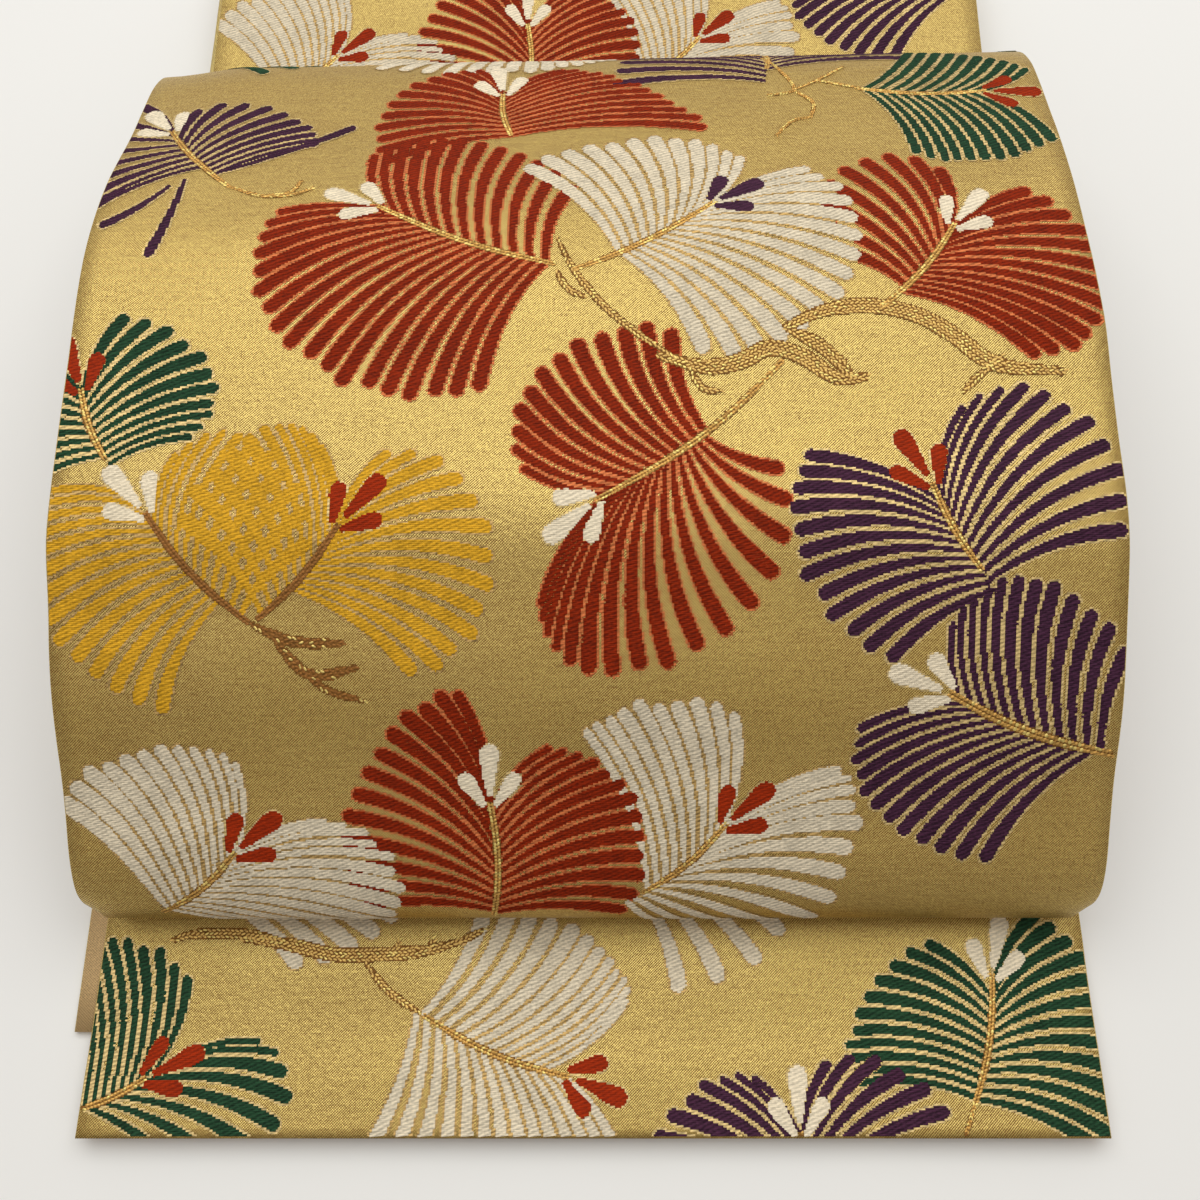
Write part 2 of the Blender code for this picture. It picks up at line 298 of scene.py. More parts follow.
class ObiColours(bpy.types.PropertyGroup):
    """Colours of the threads, the ground and the floor."""

    gold_bright: tint("Gold", "The lit face of the flat gold thread", (0.73, 0.555, 0.185))
    gold_shade: tint("Gold shade", "The gold ground between its threads", (0.18, 0.074, 0.009))
    reverse: tint("Reverse", "The plain side of the cloth", (0.58, 0.39, 0.185))
    red: tint("Red", "Red silk", (0.235, 0.018, 0.0015))
    red_edge: tint("Red's edge", "The salmon lines between red needles", (0.56, 0.16, 0.055))
    white: tint("White", "White silk", (0.64, 0.56, 0.43))
    purple: tint("Purple", "Purple silk", (0.058, 0.018, 0.043))
    green: tint("Green", "Green silk", (0.016, 0.056, 0.026))
    yellow: tint("Yellow", "Yellow silk", (0.62, 0.335, 0.020))
    pale_edge: tint(
        "Pale edge", "The pale gold lines between purple and green needles", (0.62, 0.46, 0.21))
    edge_gold: tint(
        "Gold edge", "The brown gold lines between white and yellow needles", (0.52, 0.34, 0.13))
    twig: tint("Twig", "Plain brown thread of the yellow fans' twigs", (0.30, 0.13, 0.035))
    stem: tint("Stem", "Gold stem thread", (0.60, 0.35, 0.10))
    bark: tint("Bark", "Golden brown branch thread", (0.84, 0.50, 0.16))
    bark_shade: tint("Bark shade", "Dark brown thread under the branches", (0.20, 0.09, 0.02))
    floor: tint("Floor", "The pale floor", (0.83, 0.83, 0.84))


class Wire:
    """A value in a material's nodes. Arithmetic on it adds Math nodes."""

    def __init__(self, tree, socket=None):
        self.tree = tree
        self.socket = socket

    def node(self, kind, settings=None, inputs=None, output=0):
        """Adds a node, sets it up, gives its sockets their values and links."""
        made = self.tree.nodes.new(kind)
        for name, setting in (settings or {}).items():
            setattr(made, name, setting)
        for key, given in (inputs or {}).items():
            if isinstance(given, Wire):
                self.tree.links.new(given.socket, made.inputs[key])
            else:
                made.inputs[key].default_value = given
        return Wire(self.tree, made.outputs[output])

    def maths(self, operation, *values):
        """One Math node on these values."""
        return self.node("ShaderNodeMath", {"operation": operation}, dict(enumerate(values)))

    def __add__(self, other):
        return self.maths("ADD", self, other)

    def __radd__(self, other):
        return self.maths("ADD", other, self)

    def __sub__(self, other):
        return self.maths("SUBTRACT", self, other)

    def __rsub__(self, other):
        return self.maths("SUBTRACT", other, self)

    def __mul__(self, other):
        return self.maths("MULTIPLY", self, other)

    def sine(self):
        """The sine of this value."""
        return self.maths("SINE", self)

    def between(self, low, high):
        """Nought at low, one at high, held outside."""
        settings = {"clamp": True}
        inputs = {0: self, 1: low, 2: high, 3: 0.0, 4: 1.0}
        return self.node("ShaderNodeMapRange", settings, inputs)

    def mixed(self, first, second):
        """The colour that is first where this is nought and second where it is one."""
        inputs = {0: self, 6: first, 7: second}
        return self.node("ShaderNodeMix", {"data_type": "RGBA"}, inputs, 2)


def solid_colour(colour, part=1.0):
    """Four numbers for a colour socket, darkened by part."""
    return (*(min(channel * part, 1.0) for channel in colour), 1.0)


def new_material(name, **constants):
    """A Principled material, its shader and a wire to start from."""
    made = bpy.data.materials.new(name)
    made.use_nodes = True
    shader = made.node_tree.nodes["Principled BSDF"]
    for key, value in constants.items():
        shader.inputs[key.replace("_", " ")].default_value = value
    return made, shader, Wire(made.node_tree)


def weave_place(wire, across=1.0, along=1.0):
    """The place on the flat strip, in metres, and the same place stretched."""
    place = wire.node("ShaderNodeUVMap", {"uv_map": "weave"})
    x = wire.node("ShaderNodeSeparateXYZ", {}, {0: place}, 0)
    s = wire.node("ShaderNodeSeparateXYZ", {}, {0: place}, 1)
    stretched = wire.node("ShaderNodeMapping", {}, {"Vector": place, "Scale": (across, along, 1.0)})
    return x, s, stretched


def noise(wire, place, scale, detail=2.0, roughness=0.5):
    """Smooth noise at this place."""
    inputs = {"Vector": place, "Scale": scale, "Detail": detail, "Roughness": roughness}
    return wire.node("ShaderNodeTexNoise", {}, inputs)


def link(wire, shader, name):
    """Joins a wire to one of the shader's sockets."""
    wire.tree.links.new(wire.socket, shader.inputs[name])


def bump(wire, height, distance, strength=1.0):
    """A Bump node's normal from this height."""
    inputs = {"Height": height, "Distance": distance, "Strength": strength}
    return wire.node("ShaderNodeBump", {}, inputs)


def gold_ground(name, bright, shade, twill):
    """Flat gold thread in a fine twill, with the strip's soft streaks along the weft."""
    metal = 0.92
    slant = 0.7071
    made, shader, wire = new_material(name, IOR=1.5, Specular_IOR_Level=0.3)
    x, s, place = weave_place(wire)
    streaky = weave_place(wire, 0.06, 1.0)[2]
    turn = 2 * math.pi / twill
    wander = noise(wire, place, 60.0, 1.0) * 1.6
    lines = ((x - s) * (turn * slant) + wander).sine() * 0.5 + 0.5
    cross = ((x + s) * (turn * slant)).sine() * 0.5 + 0.5
    grain = noise(wire, place, 1300.0, 1.0)
    mottle = noise(wire, place, 420.0, 2.0, 0.6)
    streak = noise(wire, streaky, 900.0, 2.0, 0.7)
    cloud = noise(wire, place, 34.0, 3.0, 0.6)
    weave = lines * 0.66 + cross * 0.34 + grain * 0.8 + streak * 0.3 + mottle * 0.3
    foil = weave.between(1.06, 1.29)
    tone = foil * 0.86 + cloud * 0.14
    colour = tone.between(0.05, 0.95).mixed(solid_colour(shade), solid_colour(bright))
    link(colour, shader, "Base Color")
    link(0.05 + foil * (metal - 0.05), shader, "Metallic")
    link(0.54 - foil * 0.20 + streak * 0.1, shader, "Roughness")
    height = lines * 0.5 + cross * 0.3 + grain * 0.9 + streak * 0.4 + mottle * 3.2
    link(bump(wire, height, 0.00009, 0.85), shader, "Normal")
    return made


def plain_reverse(name, colour):
    """The plain brown-gold side: fine crossed threads without figures."""
    made, shader, wire = new_material(name, Metallic=0.25, IOR=1.5)
    x, s, place = weave_place(wire)
    warp, weft = 0.0009, 0.0008
    threads = (x * (2 * math.pi / warp)).sine() * (s * (2 * math.pi / weft)).sine()
    grain = noise(wire, place, 1500.0, 2.0, 0.7)
    tone = (threads * 0.25 + grain).between(0.2, 0.85)
    link(tone.mixed(solid_colour(colour, 0.55), solid_colour(colour, 1.25)), shader, "Base Color")
    link(0.5 + tone * 0.12, shader, "Roughness")
    link(bump(wire, threads * 0.4 + grain, 0.00008, 0.8), shader, "Normal")
    return made


def selvedge(name, colour):
    """The strip's edge, where the weft turns back in small loops."""
    made, shader, wire = new_material(name, Metallic=0.5, Roughness=0.45, IOR=1.5)
    place = weave_place(wire, 0.2, 1.0)[2]
    loops = noise(wire, place, 1100.0, 1.0).between(0.3, 0.7)
    link(loops.mixed(solid_colour(colour, 0.55), solid_colour(colour, 1.1)), shader, "Base Color")
    link(bump(wire, loops, 0.00012, 0.9), shader, "Normal")
    return made


def silk(name, colour, depth, metal, rough, glow):
    """Soft brocading thread: fine streaks along the weft, strands wound loosely round each other
    whose stripes also paint shade and highlight into the colour, and a faint sheen.
    """
    made, shader, wire = new_material(
        name, Metallic=metal, IOR=1.48, Sheen_Weight=glow, Specular_IOR_Level=0.09
    )
    across, along = 0.0030, 0.0013
    x, s, place = weave_place(wire)
    rows = weave_place(wire, 0.12, 1.0)[2]
    fibre = noise(wire, rows, 2400.0, 1.0)
    fleck = noise(wire, place, 1100.0, 2.0, 0.6)
    cloud = noise(wire, place, 90.0, 2.0)
    wander = cloud * 9.0
    twist_relief_and_painted_shade = (x * (2 * math.pi / across) - s * (2 * math.pi / along) + wander).sine()
    # In the tone, the stripes of the wound strands are painted shade and painted highlight. In the
    # bump they are the strands' relief.
    tone = (fibre * 0.6 + fleck * 0.6 + cloud * 0.25 + twist_relief_and_painted_shade * 0.12).between(0.53, 0.93)
    link(tone.mixed(solid_colour(colour, depth), solid_colour(colour, 1.4)), shader, "Base Color")
    link(rough + fleck * 0.15, shader, "Roughness")
    link(bump(wire, fibre + fleck * 0.35 + twist_relief_and_painted_shade * 0.4, 0.00008, 0.7), shader, "Normal")
    return made


def spline(points, steps):
    """A smooth curve through the points, with this many steps from one to the next."""

    def blend(first, second, low, high):
        return first * ((high - t) / (high - low)) + second * ((t - low) / (high - low))

    before = Vector(points[0]) * 2 - Vector(points[1])
    after = Vector(points[-1]) * 2 - Vector(points[-2])
    knots = [before] + [Vector(point) for point in points] + [after]
    curve = []
    for index in range(1, len(knots) - 2):
        p0, p1, p2, p3 = knots[index - 1 : index + 3]
        t1 = math.sqrt((p1 - p0).length)
        t2 = t1 + math.sqrt((p2 - p1).length)
        t3 = t2 + math.sqrt((p3 - p2).length)
        for step in range(steps):
            t = t1 + (t2 - t1) * step / steps
            a1 = blend(p0, p1, 0.0, t1)
            a2 = blend(p1, p2, t1, t2)
            a3 = blend(p2, p3, t2, t3)
            b1 = blend(a1, a2, 0.0, t2)
            b2 = blend(a2, a3, t1, t3)
            curve.append(blend(b1, b2, t1, t2))
    curve.append(knots[-2])
    return np.array([tuple(point) for point in curve])


def ease(value):
    """Nought below nought, one above one, smooth between."""
    value = np.clip(value, 0.0, 1.0)
    return value * value * (3 - 2 * value)


class Stretch:
    """One stretch of the folded strip, which knows where each point of it lies.

    shift moves it across, start is s at the path's first point, strip is added to s to
    give the place on the whole strip, and figures are woven only where s is in shown.
    """

    def __init__(
        self, path, shift, start, strip=0.0, waves=(), ridged=False, ripple=0.0,
        shown=(-math.inf, math.inf),
    ):
        self.shown = shown
        self.middle = spline(path, 4)
        along = np.gradient(self.middle, axis=0)
        along /= np.linalg.norm(along, axis=1)[:, None]
        self.normal = np.stack([-along[:, 1], along[:, 0]], 1)
        face = self.middle + self.normal * (CLOTH / 2)
        steps = np.linalg.norm(np.diff(face, axis=0), axis=1)
        self.s = start + np.concatenate([[0.0], np.cumsum(np.maximum(steps, 0.02))])
        self.shift = shift
        self.strip = strip
        self.waves = waves
        self.ridged = ridged
        self.ripple = ripple

    def length(self):
        """The length of cloth along the middle of the strip's thickness, in metres."""
        return float(np.linalg.norm(np.diff(self.middle, axis=0), axis=1).sum()) * MM

    def place(self, x, s, lift):
        """Places in metres for x and s on the cloth, lift above its face."""
        x = np.asarray(x, float)
        s = np.asarray(s, float)
        columns = (*self.middle.T, *self.normal.T)
        y0, z0, ny, nz = (np.interp(s, self.s, column) for column in columns)
        size = np.hypot(ny, nz)
        ny, nz = ny / size, nz / size
        side = x / HALF
        off = CLOTH / 2 + lift
        swell = np.zeros_like(x)
        for middle, half, rise, lean, where, spread in self.waves:
            away = (y0 - middle - lean * side) / half
            swell += rise * np.exp(-(away**2) - ((side - where) / spread) ** 2)
        ripple = np.sin(x / 17.0 + np.sin(s / 23.0) * 1.7) * np.sin(s / 11.0 + x / 61.0)
        ripple += 0.7 * np.sin(x / 9.0 - s / 14.0 + 1.0) * np.sin(x / 37.0 + s / 29.0)
        swell += ripple * self.ripple
        upper = np.maximum(nz, 0.0)
        y = y0 + ny * off
        z = z0 + nz * off + swell * upper
        if self.ridged:
            # The ridge slopes up to the right and droops at its left end, and the near
            # fold's corners turn up and in.
            part = ease((y0 - 255.0) / 80.0) * ease((z0 - 30.0) / 25.0)
            raised = 2.2 * side * part - 1.6 * part * ease((-side - 0.8) / 0.2)
            corner = ease((np.abs(x) - 148.0) / 7.0) ** 2 * np.exp(-((s / 11.0) ** 2))
            y = y + raised + 3.2 * corner
            z = z + raised
            x = x - np.sign(x) * corner * 1.2
        return np.stack([x + self.shift + ORIGIN_X, y + ORIGIN_Y, z], -1) * MM


TARE = Stretch(
    TARE_PATH, shift=-2.0, start=0.0, strip=TARE_STRIP, waves=TARE_WAVES, ripple=0.10,
    shown=(0.0, 116.0))
RETURN = Stretch(RETURN_PATH, shift=-2.0, start=300.0, strip=TARE_STRIP)
DRUM = Stretch(
    DRUM_PATH, shift=-3.5, start=-36.3, waves=DRUM_WAVES, ridged=True, ripple=0.22,
    shown=(-26.0, math.inf))
BAND = Stretch(BAND_PATH, shift=-0.5, start=416.5, waves=BAND_WAVES, ripple=0.10)


def new_object(name, verts, faces, flat, materials, slots=None):
    """A mesh object with the weave map, from places, faces and flat places in mm."""
    mesh = bpy.data.meshes.new(name)
    mesh.from_pydata(np.asarray(verts).tolist(), [], faces)
    for item in materials:
        mesh.materials.append(item)
    if slots is not None:
        mesh.polygons.foreach_set("material_index", np.asarray(slots, np.int32))
    mesh.polygons.foreach_set("use_smooth", np.full(len(mesh.polygons), True))
    corner = np.empty(len(mesh.loops), np.int32)
    mesh.loops.foreach_get("vertex_index", corner)
    layer = mesh.uv_layers.new(name="weave")
    layer.uv.foreach_set("vector", (np.asarray(flat)[corner] * MM).astype(np.float32).ravel())
    mesh.update()
    made = bpy.data.objects.new(name, mesh)
    bpy.context.scene.collection.objects.link(made)
    return made


def shell(name, stretch, finishes, columns=54):
    """The closed thin cloth of one stretch: face, reverse and a rounded edge all round."""
    edge = [(0.0, 0.0), (0.28, 0.18), (0.36, 0.5), (0.28, 0.82), (0.0, 1.0)]
    bends = len(edge) - 1
    flats = np.linspace(-HALF + 0.3, HALF - 0.3, columns + 1)
    ring = [(x, 0.0) for x in flats]
    ring += [(flats[-1] + out, -CLOTH * down) for out, down in edge[1:-1]]
    ring += [(x, -CLOTH) for x in flats[::-1]]
    ring += [(flats[0] - out, -CLOTH * down) for out, down in edge[-2:0:-1]]
    ring = np.array(ring)
    count = len(ring)
    back = 2 * columns + bends
    rows = len(stretch.s)
    x = np.tile(ring[:, 0], rows)
    lift = np.tile(ring[:, 1], rows)
    s = np.repeat(stretch.s, count)
    verts = stretch.place(x, s, lift)
    faces = []
    slots = []
    for row in range(rows - 1):
        for index in range(count):
            following = (index + 1) % count
            a = row * count + index
            b = row * count + following
            faces.append((a, b, b + count, a + count))
            if index < columns:
                slots.append(0)
            elif columns + bends <= index < back:
                slots.append(1)
            else:
                slots.append(2)
    for end in (0, (rows - 1) * count):
        for index in range(columns):
            quad = (end + index, end + index + 1, end + back - index - 1, end + back - index)
            faces.append(quad if end else quad[::-1])
            slots.append(2)
        for near, far in ((columns, columns + bends), (back, count)):
            loop = [end + (near + step) % count for step in range(far - near + 1)]
            faces.append(tuple(loop) if end else tuple(loop[::-1]))
            slots.append(2)
    flat = np.stack([x, s + stretch.strip], 1)
    return new_object(name, verts, faces, flat, finishes, slots)


class Threads:
    """Threads gathered for one mesh on one stretch.

    RAISED and FLAT are cross sections: places across and heights, as shares.
    """

    RAISED = ((-1.0, 0.25), (0.0, 1.0), (1.0, 0.25))
    FLAT = ((-1.0, 1.0), (1.0, 1.0))
    CLEAR = 0.03

    def __init__(self, stretch):
        self.stretch = stretch
        self.x, self.s, self.lift, self.faces = [], [], [], []

    def lay(self, start, toward, stations, half, section=RAISED):
        """One thread from start. Each station is a distance, a height and a width share."""
        dx, ds = toward
        first = len(self.x)
        count = len(section)
        for distance, height, wide in stations:
            for across, up in section:
                away = across * half * wide
                self.x.append(start[0] + dx * distance - ds * away)
                self.s.append(start[1] + ds * distance + dx * away)
                self.lift.append(self.CLEAR + height * up)
        for index in range(len(stations) - 1):
            for low in range(first + index * count, first + index * count + count - 1):
                self.faces.append((low, low + count, low + count + 1, low + 1))

    def built(self, name, material):
        """The mesh of every thread laid so far, or None."""
        if not self.faces:
            return None
        x = np.clip(np.array(self.x), -HALF + 0.1, HALF - 0.1)
        s = np.clip(np.array(self.s), self.stretch.s[0], self.stretch.s[-1])
        verts = self.stretch.place(x, s, np.array(self.lift))
        flat = np.stack([x, s + self.stretch.strip], 1)
        return new_object(name, verts, self.faces, flat, [material])


def needle(base, control, tip, thin, thick, spare=0.0):
    """The outline of one needle: a bent taper with a round end, in mm."""
    pieces, turns, full = 13, 8, 0.86
    left = []
    right = []
    for index in range(pieces + 1):
        u = index / pieces
        sides = list(zip(base, control, tip))
        x, s = ((1 - u) ** 2 * a + 2 * u * (1 - u) * b + u * u * c for a, b, c in sides)
        dx, ds = ((1 - u) * (b - a) + u * (c - b) for a, b, c in sides)
        size = math.hypot(dx, ds) or 1.0
        dx, ds = dx / size, ds / size
        wide = thin + (thick - thin) * min(u / full, 1.0) + spare
        left.append((x - ds * wide, s + dx * wide))
        right.append((x + ds * wide, s - dx * wide))
    wide = thick + spare
    facing = math.atan2(ds, dx)
    cap = []
    for step in range(1, turns):
        angle = facing + math.pi / 2 - math.pi * step / turns
        cap.append((x + wide * math.cos(angle), s + wide * math.sin(angle)))
    return left + cap + right[::-1]


def spans(outline, level):
    """Where the outline is crossed by a row at this level: pairs of x."""
    found = []
    last = outline[-1]
    for point in outline:
        if (last[1] <= level) != (point[1] <= level):
            part = (level - last[1]) / (point[1] - last[1])
            found.append(last[0] + (point[0] - last[0]) * part)
        last = point
    found.sort()
    return list(zip(found[::2], found[1::2]))


class Loom:
    """Lays figures row by row. What one figure holds of a row is closed to later ones."""

    MARGIN = 0.4
    SHORTEST = 0.45
    LEAN = 0.12
    TIE_PITCH = 3.2
    TIE_SLIP = 1.1
    TIE_ROOM = 1.2

    def __init__(self, stretch, sizes, seed):
        self.stretch = stretch
        self.row = sizes.weft_row / MM
        self.step = sizes.warp_step / MM
        self.height = sizes.float_lift / MM
        self.low = max(float(stretch.s[0]) + 0.6, stretch.shown[0])
        self.high = min(float(stretch.s[-1]) - 0.6, stretch.shown[1])
        self.held = {}
        self.chance = random.Random(seed)
        self.threads = {}

    def sheaf(self, name):
        """The threads of one colour."""
        if name not in self.threads:
            self.threads[name] = Threads(self.stretch)
        return self.threads[name]

    def free(self, number, x0, x1):
        """The parts of a row from x0 to x1 that no figure holds."""
        parts = [(x0, x1)]
        for low, high in self.held.get(number, ()):
            cut = []
            for a, b in parts:
                cut += [(a, min(b, low)), (max(a, high), b)]
            parts = [(a, b) for a, b in cut if a < b]
        return parts

    def figure(self, colour, outline, flat=False, steep=False):
        """Weaves one outline in a colour, flat for the thread beside and under figures.

        In a steep figure the ends move in wider steps and the raised threads lean a
        little. slack is how far an end may stray, as a share of a step.
        """
        toward = heading(self.LEAN) if steep and not flat else (1.0, 0.0)
        step = self.step * (1.3 if steep else 1.0)
        slack = 0.12 if steep else 0.3
        half = self.row * (0.58 if steep else 0.53)
        bottom = max(min(point[1] for point in outline), self.low)
        top = min(max(point[1] for point in outline), self.high)
        threads = self.sheaf(colour)
        for number in range(math.ceil(bottom / self.row - 0.5), math.floor(top / self.row + 0.5)):
            level = (number + 0.5) * self.row
            if not self.low < level < self.high:
                continue
            for x0, x1 in spans(outline, level):
                x0 = round(x0 / step + self.chance.uniform(-slack, slack)) * step
                x1 = round(x1 / step + self.chance.uniform(-slack, slack)) * step
                x0 = max(x0, -HALF + self.MARGIN)
                x1 = min(x1, HALF - self.MARGIN)
                for a, b in self.free(number, x0, x1):
                    if b - a < self.SHORTEST:
                        continue
                    self.held.setdefault(number, []).append((a, b))
                    start = (a, level - toward[1] * (b - a) / 2)
                    if flat:
                        run = self.flat_run(b - a)
                        threads.lay(start, toward, run, self.row * 0.5, Threads.FLAT)
                    else:
                        run = self.raised_run(b - a, a, number)
                        threads.lay(start, toward, run, half)

    def flat_run(self, length):
        """Stations of a low thread."""
        pieces = max(1, int(length / 8.0))
        return [(length * index / pieces, 0.10, 1.0) for index in range(pieces + 1)]

    def raised_run(self, length, x, number):
        """Stations of a raised thread, tied down at intervals that step from row to row."""
        end = min(0.35, length * 0.3)
        top = self.height * self.chance.uniform(0.92, 1.08)
        stations = [(0.0, 0.0, 0.9), (end, top, 1.0)]
        tie = (number * self.TIE_SLIP - x) % self.TIE_PITCH
        while tie < length - self.TIE_ROOM:
            if tie > self.TIE_ROOM:
                stations.append((tie - 0.5, top * 1.05, 1.0))
                stations.append((tie, top * 0.5, 0.92))
            tie += self.TIE_PITCH
        stations.append((length - end, top, 1.0))
        stations.append((length, 0.0, 0.9))
        return stations


def bowed(first, middle, last, t):
    """A value that passes through three at nought, a half and one."""
    return (
        first * (1 - t) * (1 - 2 * t) + middle * 4 * t * (1 - t) + last * t * (2 * t - 1)
    )


def heading(angle):
    """A unit step at this angle."""
    return math.cos(angle), math.sin(angle)


def stem_point(fan, part):
    """A point on a fan's stem, which bows a little, from the root to the bud."""
    root, bud = fan[2], fan[3]
    dx, ds = bud[0] - root[0], bud[1] - root[1]
    bow = 0.05 * math.sin(math.pi * part) * (1 if dx < 0 else -1)
    return root[0] + dx * part - ds * bow, root[1] + ds * part + dx * bow


def fan_needles(fan, chance):
    """Each needle of a fan: base, bend, end and its half widths, first and last."""
    root, bud = fan[2], fan[3]
    stem = math.atan2(bud[1] - root[1], bud[0] - root[0])
    line = LINES[fan[0]]
    thickest = 2.5 if fan[0] == "white" else 2.1
    made = []
    for start, last, count, a0, l0, a1, l1, a2, l2 in fan[4]:
        ends = []
        for index in range(count):
            t = index / (count - 1)
            base = stem_point(fan, start + (last - start) * t)
            angle = bowed(a0, a1, a2, t)
            length = bowed(l0, l1, l2, t) * chance.uniform(0.97, 1.02)
            sign = 1 if a1 > 0 else -1
            out = heading(stem + math.radians(angle))
            early = heading(stem + math.radians(angle - BEND_ANGLE * sign))
            tip = (base[0] + out[0] * length, base[1] + out[1] * length)
            bend = (
                base[0] + early[0] * length * BEND_REACH,
                base[1] + early[1] * length * BEND_REACH,
            )
            ends.append((base, bend, tip))
        for index, (base, bend, tip) in enumerate(ends):
            beside = ends[index + 1] if index + 1 < count else ends[index - 1]
            before = ends[index - 1] if index else beside
            wide = apart(bend, tip, beside[2]) + apart(bend, tip, before[2])
            narrow = apart(base, bend, beside[0]) + apart(base, bend, before[0])
            thick = min(max((wide / 2 - line) / 2, 1.1), thickest)
            thin = min(max((narrow / 2 - line) / 2, 0.5), 0.9)
            made.append((base, bend, tip, thin, thick))
    return made


def apart(start, end, point):
    """How far a point lies to the side of the line from start to end."""
    dx, ds = end[0] - start[0], end[1] - start[1]
    return abs(dx * (point[1] - start[1]) - ds * (point[0] - start[0])) / math.hypot(dx, ds)


def petals(fan):
    """The three petals of a fan's bud: base, bend, end and half widths, first and last."""
    root, bud = fan[2], fan[3]
    stem = math.atan2(bud[1] - root[1], bud[0] - root[0])
    made = []
    step = heading(stem)
    for turn, near, beside, length, thick in PETALS:
        out = heading(stem + turn)
        away = math.copysign(beside, turn)
        base = (bud[0] + step[0] * near - step[1] * away, bud[1] + step[1] * near + step[0] * away)
        tip = (base[0] + out[0] * length, base[1] + out[1] * length)
        bend = ((base[0] + tip[0]) / 2, (base[1] + tip[1]) / 2)
        made.append((base, bend, tip, 0.9, thick))
    return made


def rounds(stretch):
    """How far the design is moved along to fall on this stretch, one for each repeat."""
    return [-stretch.strip, REPEAT - stretch.strip]


def moved(points, along):
    """Points moved along the strip."""
    return [(x, s + along) for x, s in points]


def within(points, stretch):
    """Whether points may show on a stretch."""
    low = min(point[1] for point in points)
    high = max(point[1] for point in points)
    return high > stretch.s[0] and low < stretch.s[-1]


def leans(points):
    """Whether a needle runs more along the strip than across it."""
    return abs(points[-1][1] - points[0][1]) > 1.2 * abs(points[-1][0] - points[0][0])


def weave_fans(loom):
    """Buds first, then needles, then the edge thread in what is left beside them."""
    shapes = []
    for along in rounds(loom.stretch):
        for fan in FANS:
            chance = random.Random(int(fan[2][0] * 7 + fan[2][1]))
            for base, bend, tip, thin, thick in petals(fan):
                points = moved((base, bend, tip), along)
                shapes.append((0, "bud_" + fan[1], points, thin, thick))
            for base, bend, tip, thin, thick in fan_needles(fan, chance):
                points = moved((base, bend, tip), along)
                shapes.append((1, fan[0], points, thin, thick))
        for colour, base, tip in LOOSE:
            bend = ((base[0] + tip[0]) / 2 + 2.0, (base[1] + tip[1]) / 2 - 2.0)
            shapes.append((1, colour, moved((base, bend, tip), along), 0.7, 1.7))
    shapes = [shape for shape in shapes if within(shape[2], loom.stretch)]
    shapes.sort(key=lambda shape: shape[0])
    for kind, colour, points, thin, thick in shapes:
        loom.figure(colour, needle(*points, thin, thick), False, leans(points))
    for kind, colour, points, thin, thick in shapes:
        edge = EDGES.get(colour, "edge_pale")
        spare = 0.6 if kind else 0.45
        loom.figure(edge, needle(*points, thin, thick, spare), True, leans(points))


def along_path(points, step):
    """Places and directions at even steps on a smooth line through the points."""
    line = spline(points, 8)
    sizes = np.linalg.norm(np.diff(line, axis=0), axis=1)
    run = np.concatenate([[0.0], np.cumsum(sizes)])
    at = np.arange(step / 2, run[-1], step)
    x = np.interp(at, run, line[:, 0])
    s = np.interp(at, run, line[:, 1])
    ahead = np.minimum(at + 0.3, run[-1])
    dx = np.interp(ahead, run, line[:, 0]) - np.interp(at - 0.3, run, line[:, 0])
    ds = np.interp(ahead, run, line[:, 1]) - np.interp(at - 0.3, run, line[:, 1])
    return list(zip(x, s, np.arctan2(ds, dx)))


def stitch(loom, colour, x, s, angle, length, half, height):
    """One short raised stitch."""
    if not (loom.low + 1 < s < loom.high - 1 and abs(x) < HALF - 1.5):
        return
    toward = heading(angle)
    start = (x - toward[0] * length / 2, s - toward[1] * length / 2)
    run = [(0.0, 0.02, 0.35), (length * 0.25, height, 1.0)]
    run += [(length * 0.75, height, 1.0), (length, 0.02, 0.35)]
    loom.sheaf(colour).lay(start, toward, run, half)


def underlay(loom, points, half):
    """Dark flat thread under a line of stitches, thinner at its ends."""
    places = along_path(points, 1.2)
    left = []
    right = []
    for index, (x, s, angle) in enumerate(places):
        wide = half * min(1.0, 0.5 + 2.0 * min(index, len(places) - 1 - index) / len(places))
        left.append((x - math.sin(angle) * wide, s + math.cos(angle) * wide))
        right.append((x + math.sin(angle) * wide, s - math.cos(angle) * wide))
    loom.figure("bark_shade", left + right[::-1], True)


def sew_stem(loom, points, width, plain=False):
    """A stem, gold or plain brown: two strands of stitches that lean into each other."""
    underlay(loom, points, width * 0.62)
    for x, s, angle in along_path(points, 1.05):
        for side in (-1, 1):
            away = side * width * 0.26
            at = (x - math.sin(angle) * away, s + math.cos(angle) * away)
            colour = "stem" if loom.chance.random() < 0.72 else "glint"
            if plain:
                colour = "twig"
            lean = angle + side * 0.38
            stitch(loom, colour, *at, lean, 1.5, width * 0.21, loom.height * 1.4)


def sew_branch(loom, points, strands, shade):
    """A branch: strands of brown and gold stitches side by side, thinner at its ends."""
    pitch, lean_back, slip_by = 1.0, 0.45, 0.75
    underlay(loom, points, strands * pitch * 0.5 + 0.25)
    places = along_path(points, 1.45)
    for index, (x, s, angle) in enumerate(places):
        share = min(1.0, 0.45 + 2.2 * min(index, len(places) - 1 - index) / len(places))
        held = max(1, round(strands * share))
        for strand in range(held):
            away = (strand - (held - 1) / 2) * pitch + loom.chance.uniform(-0.12, 0.12)
            slip = slip_by * (strand % 2)
            at_x = x - math.sin(angle) * away + math.cos(angle) * slip
            at_s = s + math.cos(angle) * away + math.sin(angle) * slip
            colour = shade if loom.chance.random() < 0.78 else "glint"
            lean = angle + (lean_back if strand % 2 else -lean_back)
            lean += loom.chance.uniform(-0.1, 0.1)
            stitch(loom, colour, at_x, at_s, lean, 1.7, 0.34, loom.height * 1.1)


